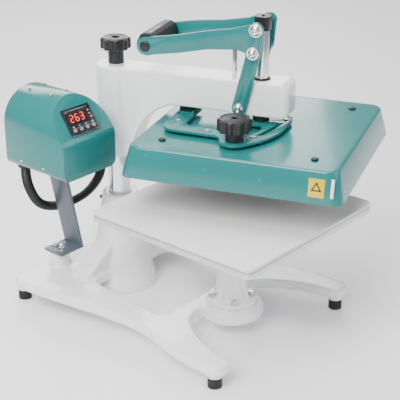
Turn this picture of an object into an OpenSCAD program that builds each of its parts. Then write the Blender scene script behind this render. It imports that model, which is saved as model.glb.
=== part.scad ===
// Swing-away heat press with a 380 x 380 mm platen.
// Frame: millimetres, +Z up, origin on the floor midway between the four feet,
// the operator stands on the -Y side, the swing column stands at the back.

/* [Platen] */
// Side length of the square lower platen and of the heated platen
platen_w = 380; // [360:5:390]
// Height of the silicone pad's top above the floor
pad_top_z = 256; // [240:1:270]

/* [Frame] */
// Distance between the left and right feet
foot_dx = 382; // [372:1:392]
// Distance between the front and rear feet
foot_dy = 512; // [500:1:520]
// Distance of the swing column in front of the rear feet
column_setback = 96; // [90:1:104]
// Diameter of the chromed swing column
column_d = 44; // [42:0.5:46]

/* [Swing arm] */
// Distance from the column's axis to the press shaft's axis
reach = 300; // [300:1:302]
// Angle that the arm stands open at rest
swing_open = 20.55; // [0:0.05:30]
// Height of the arm's top face at the press head
arm_top_z = 479; // [476:1:480]
// Half the width of the arm at the press head
arm_half_w = 32; // [30:0.5:32]

/* [Toggle linkage] */
// Distance between the two pivots of the handle, the crank length
crank_len = 44; // [43:0.5:45]
// Height of the handle's pivot on the shaft head
head_pivot_z = 582; // [580:1:584]
// Height of the link's lower pivot on the arm
link_pivot_z = 427; // [426:1:429]
// Distance of the link's lower pivot behind the press shaft
link_offset = 33; // [32:1:34]

/* [Controller] */
// Width of the control box
box_w = 136; // [130:1:138]
// Depth of the control box at its bottom
box_d = 163; // [150:1:165]
// Backward tilt of the display face
face_tilt = 36.7; // [34:0.1:38]

/* [Hidden] */
$fn = 64;
tiny = 0.02;
run_gap = 0.05;
column_y = foot_dy / 2 - column_setback;
platen_y = column_y - reach;

// Base casting heights
foot_r = 13.5;
foot_h = 19;
base_z0 = 30;
base_z1 = 50;
hole_r = 4.25;
housing_top_z = 206;
sleeve_z0 = 294;
sleeve_z1 = 480;
sleeve_r = 40;
column_top_z = 464;

// Bed stack
pad_t = 8;
bed_t = 12;
bed_z0 = pad_top_z - pad_t - bed_t;
hub_y = platen_y;
pedestal_bolt_r = 39;
bed_screw_r = 56;

// Toggle geometry: the handle turns forward over the shaft head to close the press
close_turn = 128;
pin_r = 6;
crank_lean = 5;
crank_drop = sqrt(crank_len * crank_len - crank_lean * crank_lean);
p2_y = -reach + crank_lean;
p2_z = head_pivot_z - crank_drop;
p3_y = -reach + link_offset;
link_len = norm([p2_y - p3_y, p2_z - link_pivot_z]);
link_lean = atan2(p3_y - p2_y, p2_z - link_pivot_z);
closed_dy = crank_lean * cos(close_turn) + crank_drop * sin(close_turn);
closed_dz = crank_lean * sin(close_turn) - crank_drop * cos(close_turn);
closed_lean = asin((link_offset - closed_dy) / link_len);
stroke = head_pivot_z - (link_pivot_z + link_len * cos(closed_lean) - closed_dz);

// Press head
shaft_r = 12.5;
bush_r = 17;
head_z0 = 413;
cover_w = 414;
cover_l = 420;
cover_top_z = 387;
cover_h = 58;
cover_t = 2;
cover_draft = 13.5;
heater_z0 = pad_top_z + stroke + 0.4;
heater_t = 20;
carrier_z0 = 393;
carrier_t = 5;

// Linkage planes, measured outward from the arm's middle plane
link_t = 6;
link_x0 = arm_half_w + 1.5;
plate_t = 5.5;
plate_x0 = link_x0 + link_t + 0.5;
grip_y = -88;
grip_z = 537;

// Controller box
box_x = -140;
box_y0 = 97;
box_z0 = 302;
box_z1 = 450;
fold_z = 374;
sheet_t = 1.6;
display_w = 73;
display_h = 55;

// Points of a cubic curve from a to d, without d itself
function bezier(a, b, c, d, n = 10) = [for (i = [0:n - 1]) let (t = i / n, s = 1 - t)
  a * s * s * s + b * 3 * s * s * t + c * 3 * s * t * t + d * t * t * t];
// Points of an arc in the plane
function arc(c, r, a0, a1, n = 8) = [for (i = [0:n]) let (a = a0 + (a1 - a0) * i / n)
  [c[0] + r * cos(a), c[1] + r * sin(a)]];
function mirrored(p) = [for (i = [len(p) - 1:-1:0]) [-p[i][0], p[i][1]]];

// Frame of the arm: the column's axis is the origin and the arm runs along -Y
module on_arm() {
  translate([0, column_y, 0]) rotate([0, 0, swing_open]) children();
}
// Frame of the press shaft, in the arm's directions
module on_shaft() {
  on_arm() translate([0, -reach, 0]) children();
}
module rod(r, z0, z1) {
  translate([0, 0, z0]) cylinder(r = r, h = z1 - z0);
}
module ring(ro, ri, z0, z1) {
  difference() {
    rod(ro, z0, z1);
    rod(ri, z0 - 1, z1 + 1);
  }
}
// A round bar along X, from x0 to x1
module rod_x(r, x0, x1) {
  translate([x0, 0, 0]) rotate([0, 90, 0]) cylinder(r = r, h = x1 - x0);
}
module round_square(w, l, r) {
  union() {
    square([w - 2 * r, l], center = true);
    square([w, l - 2 * r], center = true);
    for (sx = [-1, 1], sy = [-1, 1]) translate([sx * (w / 2 - r), sy * (l / 2 - r)]) circle(r = r);
  }
}
module slab(w, l, r, z0, z1) {
  translate([0, 0, z0]) linear_extrude(z1 - z0) round_square(w, l, r);
}
// A slab whose sides and corners lean in by a draft over its height
module pan(w, l, r, z0, z1, draft) {
  hull() for (sx = [-1, 1], sy = [-1, 1]) translate([sx * (w / 2 - r), sy * (l / 2 - r), z0])
    cylinder(r1 = r, r2 = r - draft, h = z1 - z0);
}
// Children drawn in the Y-Z plane, extruded along X from x0 to x1
module side_extrude(x0, x1) {
  translate([x0, 0, 0]) rotate([90, 0, 90]) linear_extrude(x1 - x0) children();
}
module hex_head(r, z0, h) {
  translate([0, 0, z0]) cylinder(r = r, h = h, $fn = 6);
}
// A lobed hand knob on a neck, with a dark recess in the top
module star_knob(r, lobes, neck_r, neck_h, h, hole, hole_depth, bore = 0, bore_depth = 0) {
  difference() {
    union() {
      rod(neck_r, 0, neck_h + 1);
      rod(r - 4, neck_h, neck_h + h);
      for (i = [0:lobes - 1]) rotate([0, 0, 360 * i / lobes])
        translate([r - 6, 0, 0]) rod(6, neck_h, neck_h + h - 2);
    }
    rod(hole, neck_h + h - hole_depth, neck_h + h + 1);
    ring(r - 8, r - 11, neck_h + h - 1.2, neck_h + h + 1);
    if (bore > 0) rod(bore, -1, bore_depth);
  }
}

/* Base ------------------------------------------------------------------ */

base_outer_left = concat(
  [[0, 264], [-150, 270]],
  arc([-184, 248], 28, 100, 180),
  bezier([-212, 248], [-212, 150], [-181, 60], [-181, -37], 12),
  bezier([-181, -37], [-181, -120], [-213, -140], [-213, -250], 12),
  arc([-191, -256], 22, 180, 290)
);
bay_rear_left = concat(arc([-92, 112], 22, 90, 180), arc([-106, -48], 27, 180, 270));
bay_front_left = concat([[-78, -108], [-100, -116]],
  bezier([-112, -128], [-140, -160], [-156, -190], [-166, -246], 8), [[-176, -300]]);

module foot_positions() {
  for (sx = [-1, 1], sy = [-1, 1]) translate([sx * foot_dx / 2, sy * foot_dy / 2, 0]) children();
}

module base_casting() {
  color("white") difference() {
    union() {
      translate([0, 0, base_z0]) linear_extrude(base_z1 - base_z0) union() {
        difference() {
          polygon(concat(base_outer_left, mirrored(base_outer_left)));
          polygon(concat(bay_rear_left, mirrored(bay_rear_left)));
          polygon(concat(bay_front_left, mirrored(bay_front_left)));
        }
        translate([0, hub_y]) circle(r = 62);
      }
      foot_positions() rod(15, foot_h, base_z0 + 1);
      // Flared housing of the swing column, with webs to both sides
      translate([0, column_y, 0]) cylinder(r1 = 72, r2 = 36, h = housing_top_z);
      translate([0, column_y + 22, 0]) rotate([90, 0, 0]) linear_extrude(44)
        polygon([[-128, base_z1 - 5], [-128, base_z1 + 4], [-44, base_z1 + 62], [44, base_z1 + 62],
          [128, base_z1 + 4], [128, base_z1 - 5]]);
      // Boss of the control box's post
      translate(post_boss) rod(21.5, base_z1 - 5, post_z0);
      translate([0, hub_y, 0]) rod(50, base_z1 - 5, base_z1 + 6);
    }
    translate([0, column_y, 0]) rod(column_d / 2, 42, 300);
    // Hollow underside: a shallow pocket in the rear slab and an open cavity in the housing
    translate([0, 0, base_z0 - 1]) linear_extrude(13) difference() {
      polygon([[-188, 252], [-186, 152], [186, 152], [188, 252]]);
      translate([0, column_y]) circle(r = 74);
      translate(post_boss) circle(r = 26);
    }
    translate([0, column_y, 0]) difference() {
      cylinder(r1 = 66, r2 = 37, h = 140);
      rod(31, -1, 141);
      rod(90, -1, base_z0 - 1);
    }
    foot_positions() rod(hole_r, foot_h - 1, 44);
    foot_positions() rod(9.5, foot_h - 1, foot_h + 5);
    translate(post_boss) for (s = [-1, 1]) translate([0, s * post_bolt_dy, 0]) rod(3.4, 58, 90);
    translate([0, hub_y, 0]) for (a = [45:90:315]) rotate([0, 0, a])
      translate([pedestal_bolt_r, 0, 0]) rod(4.2, 36, 80);
    for (z = [120, 176]) translate([0, column_y, z]) rotate([-90, 0, 0]) cylinder(r = 4, h = 80);
  }
}

module rubber_feet() {
  color("black") foot_positions() difference() {
    union() {
      rod(foot_r, 0, foot_h);
      rod(9.5, foot_h - 1, foot_h + 5);
    }
    rod(hole_r, -1, foot_h + 6);
  }
}

module swing_column() {
  color("silver") translate([0, column_y, 0]) difference() {
    rod(column_d / 2, 42, column_top_z);
    rod(6, column_top_z - 40, column_top_z + 1);
  }
}

module column_clamp_screws() {
  color("dimgray") for (z = [120, 176]) translate([0, column_y, z]) rotate([-90, 0, 0]) difference() {
    translate([0, 0, column_d / 2]) cylinder(r = 4, h = 36);
    translate([0, 0, column_d / 2 + 31]) cylinder(r = 2, h = 10, $fn = 6);
  }
}

module bed_pedestal() {
  color("white") translate([0, hub_y, 0]) difference() {
    union() {
      rod(49, base_z1 + 6, base_z1 + 16);
      rod(30, base_z1 + 10, bed_z0 - 4);
      rod(70, bed_z0 - 10, bed_z0);
      for (a = [0:90:270]) rotate([90, 0, a]) translate([0, 0, -4]) linear_extrude(8)
        polygon([[28, base_z1 + 14], [44, base_z1 + 14], [32, base_z1 + 60], [32, bed_z0 - 60],
          [68, bed_z0 - 9], [28, bed_z0 - 9]]);
    }
    for (a = [45:90:315]) rotate([0, 0, a]) translate([pedestal_bolt_r, 0, 0]) rod(4.2, 40, base_z1 + 20);
    for (a = [45:90:315]) rotate([0, 0, a]) translate([bed_screw_r, 0, 0]) rod(3.2, bed_z0 - 11, bed_z0 + 1);
  }
}

module pedestal_bolts() {
  color("silver") translate([0, hub_y, 0]) for (a = [45:90:315]) rotate([0, 0, a])
    translate([pedestal_bolt_r, 0, 0]) union() {
    rod(4.2, 40, base_z1 + 17);
    rod(7.5, base_z1 + 16, base_z1 + 18);
    hex_head(7.4, base_z1 + 18, 5);
  }
}

module lower_platen() {
  color("gainsboro") translate([0, platen_y, 0]) difference() {
    slab(platen_w, platen_w, 14, bed_z0, bed_z0 + bed_t);
    for (a = [45:90:315]) rotate([0, 0, a]) translate([bed_screw_r, 0, 0]) rod(3.2, bed_z0 - 1, bed_z0 + 9);
  }
}

module silicone_pad() {
  color("lightgray") translate([0, platen_y, 0]) slab(platen_w, platen_w, 14, pad_top_z - pad_t, pad_top_z);
}

module bed_screws() {
  color("silver") translate([0, platen_y, 0]) for (a = [45:90:315]) rotate([0, 0, a])
    translate([bed_screw_r, 0, 0]) union() {
    rod(3.2, bed_z0 - 11, bed_z0 + 9);
    rod(6, bed_z0 - 15, bed_z0 - 10);
  }
}

/* Control box ------------------------------------------------------------ */

post_w = 52;
post_x0 = -70;
post_y = 234;
post_lean = 11.5;
post_t = 5;
post_z0 = 84;
post_z1 = box_z0 - 0.1;
post_boss = [-103, 242];
post_bolt_dy = 9;
flange_bolt_dy = 17;
// Left edge of the leaning strip at a height
function post_x(z) = post_x0 - tan(post_lean) * (z - post_z0);

// The post is one strip, bent into a foot at the bottom and into a flange under the box
module control_post() {
  color("slategray") difference() {
    translate([0, post_y + post_w / 2, 0]) rotate([90, 0, 0]) linear_extrude(post_w)
      polygon([[-128, post_z0], [post_x0 + post_t, post_z0], [post_x(post_z1) + post_t, post_z1],
        [-160, post_z1], [-160, post_z1 - post_t], [post_x(post_z1 - post_t), post_z1 - post_t],
        [post_x(post_z0 + post_t), post_z0 + post_t], [-128, post_z0 + post_t]]);
    translate(post_boss) for (s = [-1, 1]) translate([0, s * post_bolt_dy, 0]) rod(3.4, 80, 95);
    for (s = [-1, 1]) translate([-140, post_y + s * flange_bolt_dy, 0]) rod(2.6, post_z1 - 10, post_z1 + 2);
  }
}

module post_bolts() {
  color("silver") {
    translate(post_boss) for (s = [-1, 1]) translate([0, s * post_bolt_dy, 0]) union() {
      rod(3.4, 58, 90);
      rod(7.2, post_z0 + post_t, 90.6);
      hex_head(6.6, 90.6, 5);
    }
    for (s = [-1, 1]) translate([-140, post_y + s * flange_bolt_dy, 0]) union() {
      rod(2.6, post_z1 - post_t - 1, box_z0 + 6);
      rod(5, post_z1 - post_t - 3.5, post_z1 - post_t);
      rod(5, box_z0 + sheet_t, box_z0 + 6);
    }
  }
}

// Outline of the box seen from the front: a half ellipse above straight sides
arch_h = 62;
module box_outline(inset) {
  w = box_w / 2 - inset;
  z0 = box_z0 + inset;
  polygon(concat(arc([w - 14, z0 + 14], 14, 270, 360, 5),
    [for (a = [0:7.5:180]) [w * cos(a), box_z1 - arch_h + (arch_h - inset) * sin(a)]],
    arc([14 - w, z0 + 14], 14, 180, 270, 5)));
}
// The box's outline as a prism along Y
module box_prism(inset, y0, y1) {
  translate([box_x, y1, 0]) rotate([90, 0, 0]) linear_extrude(y1 - y0) box_outline(inset);
}
face_dy = tan(face_tilt) * (box_z1 - fold_z);
fold_r = 30;
// The space behind the front face, moved back by a distance
module behind_face(back) {
  side_extrude(box_x - box_w, box_x + box_w)
    polygon(concat([[box_y0 + back, box_z0 - 10]],
      arc([box_y0 + fold_r + back, fold_z - fold_r * tan(face_tilt / 2)], fold_r, 180, 180 - face_tilt, 5),
      [[box_y0 + face_dy + back, box_z1],
      [box_y0 + face_dy * 1.2 + back, box_z1 + 0.2 * (box_z1 - fold_z)], [box_y0 + box_d + 60, box_z1 + 30],
      [box_y0 + box_d + 60, box_z0 - 10]]));
}

module control_housing() {
  color("cadetblue") difference() {
    intersection() {
      box_prism(0, box_y0 - 5, box_y0 + box_d);
      behind_face(sheet_t + 0.2);
    }
    box_prism(sheet_t, box_y0 - 20, box_y0 + box_d + 1);
    for (s = [-1, 1]) translate([-140, post_y + s * flange_bolt_dy, 0]) rod(2.6, box_z0 - 5, box_z0 + 5);
    translate([-180, 240, 290]) rod(11.2, 0, 30);
  }
}

module control_front_panel() {
  color("cadetblue") difference() {
    intersection() {
      box_prism(0, box_y0 - 5, box_y0 + box_d);
      behind_face(0);
    }
    behind_face(sheet_t);
    on_face() translate([-display_w / 2 + 3, -display_h / 2 + 3, -10])
      cube([display_w - 6, display_h - 6, 20]);
  }
}

module control_rear_panel() {
  color("cadetblue") difference() {
    box_prism(0, box_y0 + box_d + 0.1, box_y0 + box_d + 0.1 + sheet_t);
    translate([-165, box_y0 + box_d - 5, 330]) cube([27.4, 15, 19.4]);
    translate([-120, box_y0 + box_d - 5, 330]) cube([21.4, 15, 15.4]);
  }
}

module housing_screws() {
  color("silver") for (y = [box_y0 + face_dy + 22, box_y0 + box_d - 22]) {
    translate([box_x - 20, y, 0]) rod(2.8, box_z1 - 3, box_z1 + 1.2);
    translate([box_x + 20, y, 0]) rod(2.8, box_z1 - 3, box_z1 + 1.2);
    translate([box_x, y - 20, box_z0 + 16]) rod_x(2.8, -box_w / 2 - 1.2, -box_w / 2 + 3);
    translate([box_x, y - 20, box_z0 + 16]) rod_x(2.8, box_w / 2 - 3, box_w / 2 + 1.2);
  }
}

// Frame of the tilted face: X to the right, Y up the slope, Z outward, origin at the display's centre
module on_face() {
  translate([box_x, box_y0 + face_dy * 0.42, fold_z + 0.42 * (box_z1 - fold_z)])
    rotate([90 - face_tilt, 0, 0]) children();
}
key_x = [-24, -8, 8, 24];

module display_bezel() {
  color("black") on_face() difference() {
    union() {
      slab(display_w, display_h, 3, tiny, 2);
      slab(display_w - 6.4, display_h - 6.4, 2, -4.6, 1);
    }
    translate([-28, -3, -8]) cube([48, 20, 20]);
    for (x = key_x) translate([x, -17, -10]) cylinder(r = 4.05, h = 20);
  }
}

module display_board() {
  color("darkred") on_face() {
    translate([-34, -24, -12]) cube([68, 48, 3]);
    translate([-27.5, -2.5, -9.1]) cube([47, 19, 9.7]);
  }
}

module key(i) {
  on_face() translate([key_x[i], -17, 0]) union() {
    rod(4, -6, 3);
    rod(5.5, -7, -5);
  }
}
module key_set() color("silver") key(0);
module key_up() color("silver") key(1);
module key_down() color("silver") key(2);
module key_timer() color("silver") key(3);

module power_relay() {
  color("black") translate([box_x - 53, box_y0 + 46, box_z0 + sheet_t + 0.1]) cube([44, 58, 24]);
}

module mains_inlet() {
  color("black") translate([-151.3, box_y0 + box_d, 339.7]) difference() {
    union() {
      translate([-13.5, -22, -9.5]) cube([27, 24, 19]);
      translate([-19, 1.9, -12]) cube([38, 3, 24]);
    }
    translate([-11, -14, -7.5]) cube([22, 40, 15]);
  }
}

module power_switch() {
  color("black") translate([-109.3, box_y0 + box_d + 1.7, 337.7]) union() {
    rotate([0, 90, 0]) translate([0, 0, -9.5]) cylinder(r = 2, h = 19);
    side_extrude(-9.5, 9.5) polygon([[-3, -6.8], [-3, 6.8], [1.6, 6.8], [0.6, 0], [3.4, -6.8]]);
  }
}

module conduit_gland() {
  color("black") translate([-180, 240, 0]) difference() {
    union() {
      rod(11, box_z0 - 6, box_z0 + 8);
      rod(15, box_z0 - 8, box_z0 - 0.1);
      rod(15, box_z0 + sheet_t + 0.1, box_z0 + 7);
    }
    rod(10.4, box_z0 - 20, box_z0 - 2);
  }
}

// The conduit's route: out of the box's floor, under the box in a deep loop, up behind the column
conduit_d = 20;
conduit_route = [
  [-180, 240, 298], [-180, 241, 280], [-174, 245, 255], [-160, 252, 228], [-138, 264, 200],
  [-112, 276, 178], [-84, 284, 163], [-55, 283, 156], [-28, 273, 160], [-6, 258, 174],
  [8, 244, 196], [12, 230, 224], [6, 221, 254], [1, 217, 284], [0, 216, 310]
];
function route_dir(p, i) = let (a = p[max(i - 1, 0)], b = p[min(i + 1, len(p) - 1)]) (b - a) / norm(b - a);
conduit_sides = 12;
function ring_points(c, d, r, n) =
  let (s0 = cross(d, [0, 1, 0]), s = s0 / norm(s0), t = cross(d, s))
  [for (k = [0:n - 1]) c + r * cos(360 * k / n) * s + r * sin(360 * k / n) * t];

module heater_conduit() {
  n = conduit_sides;
  m = len(conduit_route);
  color("black") polyhedron(
    points = [for (i = [0:m - 1])
      each ring_points(conduit_route[i], route_dir(conduit_route, i), conduit_d / 2, n)],
    faces = concat(
      [[for (k = [0:n - 1]) k]],
      [for (i = [0:m - 2], k = [0:n - 1])
        [i * n + k, (i + 1) * n + k, (i + 1) * n + (k + 1) % n, i * n + (k + 1) % n]],
      [[for (k = [n - 1:-1:0]) (m - 1) * n + k]]
    ));
}

/* Swing arm -------------------------------------------------------------- */

module swing_arm() {
  color("white") on_arm() difference() {
    union() {
      rod(sleeve_r, sleeve_z0, sleeve_z1);
      // Beam from the sleeve to the press head, and the arch under it
      side_extrude(1 - arm_half_w, arm_half_w - 1) polygon(concat(
        [[0, arm_top_z], [0, sleeve_z0 + 4], [-36, sleeve_z0 + 4]],
        bezier([-36, sleeve_z0 + 4], [-52, 352], [-70, 400], [-130, 415], 10),
        [[-130, 415], [-250, head_z0 + 1], [-250, arm_top_z]]));
      intersection() {
        side_extrude(-arm_half_w, arm_half_w) polygon(concat(
          [[-242, arm_top_z], [-242, head_z0], [-354, head_z0], [-361, head_z0 + 6]],
          arc([-346, arm_top_z - 15], 15, 180, 90, 6)));
        translate([0, -reach, 0]) slab(2 * arm_half_w, 122, 12, head_z0 - 1, arm_top_z + 1);
      }
    }
    rod(column_d / 2 + 3, sleeve_z0 - 1, column_top_z + 2);
    rod(7, column_top_z, sleeve_z1 + 1);
    // Core of the casting, open underneath
    translate([-20, -228, head_z0 - 4]) cube([40, 52, 59]);
    translate([0, -reach, 0]) rod(bush_r, head_z0 - 1, arm_top_z + 1);
    translate([0, p3_y, link_pivot_z]) rod_x(pin_r, -40, 40);
    translate([0, -246, 0]) rod(4.5, arm_top_z - 24, arm_top_z + 1);
    translate([0, 0, sleeve_z0 + 26]) rotate([-90, 0, -swing_open]) cylinder(r = 5, h = 60);
  }
}

module column_bushes() {
  color("goldenrod") on_arm() {
    ring(column_d / 2 + 3, column_d / 2 + run_gap, sleeve_z0, sleeve_z0 + 40);
    ring(column_d / 2 + 3, column_d / 2 + run_gap, column_top_z - 42, column_top_z - 2);
  }
}

module thrust_washer() {
  color("goldenrod") on_arm() ring(column_d / 2 + 2, 7.5, column_top_z + 0.1, column_top_z + 2);
}

module arm_conduit_elbow() {
  color("black") translate([0, column_y, 0]) difference() {
    union() {
      translate([0, 0, sleeve_z0 + 26]) rotate([-90, 0, 0]) translate([0, 0, 34]) cylinder(r = 9, h = 20);
      translate([0, 56, 0]) rod(12.5, sleeve_z0 + 12, sleeve_z0 + 38);
    }
    rod(sleeve_r + 0.1, 200, 500);
    translate([0, 56, 0]) rod(10.4, sleeve_z0 + 10, sleeve_z0 + 22);
  }
}

module shaft_bushes() {
  color("goldenrod") on_shaft() {
    ring(bush_r, shaft_r + run_gap, head_z0, head_z0 + 28);
    ring(bush_r, shaft_r + run_gap, arm_top_z - 28, arm_top_z);
  }
}

module shaft_wiper() {
  color("black") on_shaft() difference() {
    union() {
      rod(15.5, arm_top_z, arm_top_z + 2);
      translate([12, -5, arm_top_z]) cube([13, 10, 2]);
    }
    rod(shaft_r + 0.3, arm_top_z - 1, arm_top_z + 6);
  }
}

module stop_rod() {
  color("silver") on_arm() translate([0, -246, 0]) rod(4.5, arm_top_z - 24, 530);
}
module stop_buffer() {
  color("black") on_arm() translate([0, -246, 0]) rod(7, 530, 541);
}

module link_pivot_bolt() {
  color("silver") on_arm() translate([0, p3_y, link_pivot_z]) union() {
    rod_x(pin_r, -link_x0 - link_t - 1, link_x0 + link_t + 1);
    for (s = [-1, 1]) translate([s * (link_x0 + link_t + 1.1), 0, 0]) {
      rod_x(10.5, -0.8, 0.8);
      translate([s * 3.5, 0, 0]) rod_x(9, -3, 3);
    }
  }
}

module column_knob() {
  color("black") translate([0, column_y, sleeve_z1 + 0.3]) star_knob(30, 8, 15.5, 29, 22, 8, 6);
}
module column_knob_stud() {
  color("silver") translate([0, column_y, 0]) rod(5.95, column_top_z - 36, sleeve_z1 + 20);
}

/* Toggle linkage --------------------------------------------------------- */

module link_plate(s) {
  on_arm() translate([s * (link_x0 + link_t / 2), p3_y, link_pivot_z])
    rotate([link_lean, 0, 0]) difference() {
    side_extrude(-link_t / 2, link_t / 2) union() {
      circle(r = 13.5);
      translate([0, link_len]) circle(r = 13.5);
      translate([-13.5, 0]) square([27, link_len]);
    }
    rod_x(pin_r + run_gap, -10, 10);
    translate([0, 0, link_len]) rod_x(pin_r + run_gap, -10, 10);
  }
}
module link_left() color("cadetblue") link_plate(-1);
module link_right() color("cadetblue") link_plate(1);

bend_y1 = -206;
bend_y2 = -150;
fork_x = plate_x0 + 16;
// Side outline of a handle plate: a bar rising to an end that holds both pivots
module handle_outline() {
  difference() {
    union() {
      polygon([[grip_y, grip_z - 17], [grip_y, grip_z + 17], [-206, 573], [-292, 588], [-292, 545],
        [-206, 538]]);
      translate([grip_y, grip_z]) circle(r = 17);
      translate([-reach, head_pivot_z]) circle(r = 14);
      translate([p2_y, p2_z]) circle(r = 15);
      polygon([[-reach - 14, head_pivot_z], [p2_y - 15, p2_z - 1], [p2_y + 15, p2_z],
        [-262, 543], [-262, 584], [-292, 592]]);
    }
    translate([-reach, head_pivot_z]) circle(r = pin_r);
    translate([p2_y, p2_z]) circle(r = pin_r);
    translate([grip_y, grip_z]) circle(r = 4);
  }
}
module handle_plate(s) {
  on_arm() intersection() {
    side_extrude(min(s * 30, s * 80), max(s * 30, s * 80)) handle_outline();
    translate([0, 0, 480]) linear_extrude(160) polygon([for (p = [
      [plate_x0, -330], [plate_x0, bend_y1], [fork_x, bend_y2], [fork_x, -60],
      [fork_x + plate_t, -60], [fork_x + plate_t, bend_y2 - 1.5], [plate_x0 + plate_t, bend_y1 - 1.5],
      [plate_x0 + plate_t, -330]]) [s * p[0], p[1]]]);
  }
}
module handle_plate_left() color("cadetblue") handle_plate(-1);
module handle_plate_right() color("cadetblue") handle_plate(1);

module handle_grip() {
  color("black") on_arm() difference() {
    side_extrude(-fork_x + 0.1, fork_x - 0.1) union() {
      translate([grip_y, grip_z]) circle(r = 20);
      polygon([[-70, grip_z + 8], [-76, grip_z + 20], [-83, grip_z + 23.5], [-96, grip_z + 23.5],
        [-105, grip_z + 18], [-110, grip_z + 8], [-110, grip_z - 9], [-103, grip_z - 17],
        [grip_y, grip_z - 20]]);
    }
    translate([0, grip_y, grip_z]) rod_x(4, -fork_x - 1, fork_x + 1);
  }
}

module grip_screws() {
  color("black") on_arm() translate([0, grip_y, grip_z]) union() {
    rod_x(4, -fork_x - plate_t - 1, fork_x + plate_t + 1);
    for (s = [-1, 1]) translate([s * (fork_x + plate_t + 2), 0, 0]) rod_x(9.5, -1.9, 1.9);
  }
}

module handle_spacer() {
  color("silver") on_arm() translate([0, -246, 541.3 + 8]) rod_x(8, -plate_x0 + 0.05, plate_x0 - 0.05);
}

// A round bar along X on one side of the arm's middle plane, from distance a to distance b
module side_rod(s, r, a, b) {
  rod_x(r, min(s * a, s * b), max(s * a, s * b));
}
// A washer and a domed head outside a handle plate
module side_head(s, washer_r, head_r) {
  side_rod(s, washer_r, plate_x0 + plate_t + 0.05, plate_x0 + plate_t + 2);
  side_rod(s, head_r, plate_x0 + plate_t + 1.5, plate_x0 + plate_t + 7.5);
}

// Bolts at the shaft head: each has a boss inside its plate that reaches in over the link's plane
boss_x = link_x0 - 0.1;
module handle_bolts() {
  color("silver") on_arm() for (s = [-1, 1]) translate([0, -reach, head_pivot_z]) union() {
    side_rod(s, pin_r, boss_x, plate_x0 + plate_t + 1);
    side_rod(s, 7, boss_x, plate_x0 - 0.05);
    side_head(s, 13, 10.5);
  }
}

// Bolts of the joint between handle and links
module crank_bolts() {
  color("silver") on_arm() for (s = [-1, 1]) translate([0, p2_y, p2_z]) union() {
    side_rod(s, pin_r, link_x0, plate_x0 + plate_t + 1);
    side_head(s, 12, 9);
  }
}

/* Press head ------------------------------------------------------------- */

module press_shaft() {
  color("silver") on_shaft() difference() {
    rod(shaft_r, cover_top_z, head_pivot_z + 10);
    translate([0, 0, head_pivot_z]) rod_x(pin_r, -30, 30);
  }
}

module shaft_head() {
  color("black") on_shaft() difference() {
    union() {
      slab(29, 29, 8, head_pivot_z - 8.5, head_pivot_z + 17.5);
      rod(3, head_pivot_z + 17, head_pivot_z + 20);
    }
    rod(shaft_r, head_pivot_z - 20, head_pivot_z + 10);
    translate([0, 0, head_pivot_z]) rod_x(pin_r, -30, 30);
  }
}

module head_pin() {
  color("silver") on_shaft() translate([0, 0, head_pivot_z]) union() {
    rod_x(pin_r, -arm_half_w - 1, arm_half_w + 1);
    for (s = [-1, 1]) translate([s * 23.9, 0, 0]) rod_x(9, -9, 9);
  }
}

module shaft_collar() {
  color("dimgray") on_shaft() difference() {
    union() {
      rod(20, carrier_z0 - 6, carrier_z0 - 0.1);
      rod(16, carrier_z0 + carrier_t + 0.1, head_z0 - 3);
    }
    rod(shaft_r, 300, 500);
  }
}

// Plate on spacers over the cover: a hub on the shaft, a slotted front band to the left lobe, and a
// strip that runs back from the lobe and turns in under the arm
lobe = [-129, 11];
carrier_holes = [[-60, 147], [-95, 75], [14, -47], [-100, -14]];
module carrier_outline() {
  difference() {
    union() {
      circle(r = 34);
      translate(lobe) circle(r = 28);
      polygon(concat(bezier([-143, -13], [-115, -38], [-75, -58], [-35, -58], 8),
        [[-35, -58], [16, -58], [30, -54], [38, -40], [34, 0], [-30, -10], [-59, -18], [-96, -6],
          [-104, 20], lobe]));
      polygon(concat([[22, 128], [22, 166]], arc([-83, 136], 30, 90, 180, 8),
        [[-116, 50], [-150, 20], lobe, [-129, -10], [-90, -8], [-84, 30], [-77, 60], [-77, 118],
          [-68, 128]]));
    }
    polygon([[-88, -19], [-50, -31], [-10, -40], [-8, -48], [-52, -39], [-90, -27]]);
    circle(r = shaft_r + 0.05);
    translate(lobe) circle(r = 5);
    for (p = carrier_holes) translate(p) circle(r = 3.2);
  }
}
module carrier_plate() {
  color("cadetblue") on_shaft() translate([0, 0, carrier_z0]) linear_extrude(carrier_t) carrier_outline();
}

module carrier_spacers() {
  color("silver") on_shaft() for (p = carrier_holes) translate([p[0], p[1], 0]) union() {
    rod(7, cover_top_z, carrier_z0);
    rod(3.15, cover_top_z - 6, carrier_z0 + carrier_t);
    rod(6, carrier_z0 + carrier_t, carrier_z0 + carrier_t + 1.5);
  }
}

// Bracket on the strip's end; its pad meets the underside of the arm when the platen is up
module guide_bracket() {
  color("cadetblue") on_shaft() translate([-20, 130, carrier_z0 + carrier_t]) union() {
    cube([40, 34, 2.5]);
    cube([40, 3, 7]);
  }
}
module guide_pad() {
  color("black") on_shaft() translate([-12, 134, carrier_z0 + carrier_t + 2.5]) cube([24, 28, 12]);
}

module heat_cover() {
  color("cadetblue") on_shaft() difference() {
    pan(cover_w, cover_l, 26, cover_top_z - cover_h, cover_top_z, cover_draft);
    pan(cover_w - 2 * cover_t + 0.46, cover_l - 2 * cover_t + 0.46, 24.2, cover_top_z - cover_h - 1,
      cover_top_z - cover_t, cover_draft * (cover_h - cover_t + 1) / cover_h);
    for (sx = [-1, 1], sy = [-1, 1]) translate([sx * 147, sy * 145, 0]) rod(4, 360, 400);
    for (p = carrier_holes) translate([p[0], p[1], 0]) rod(3.2, 360, 400);
  }
}

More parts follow.
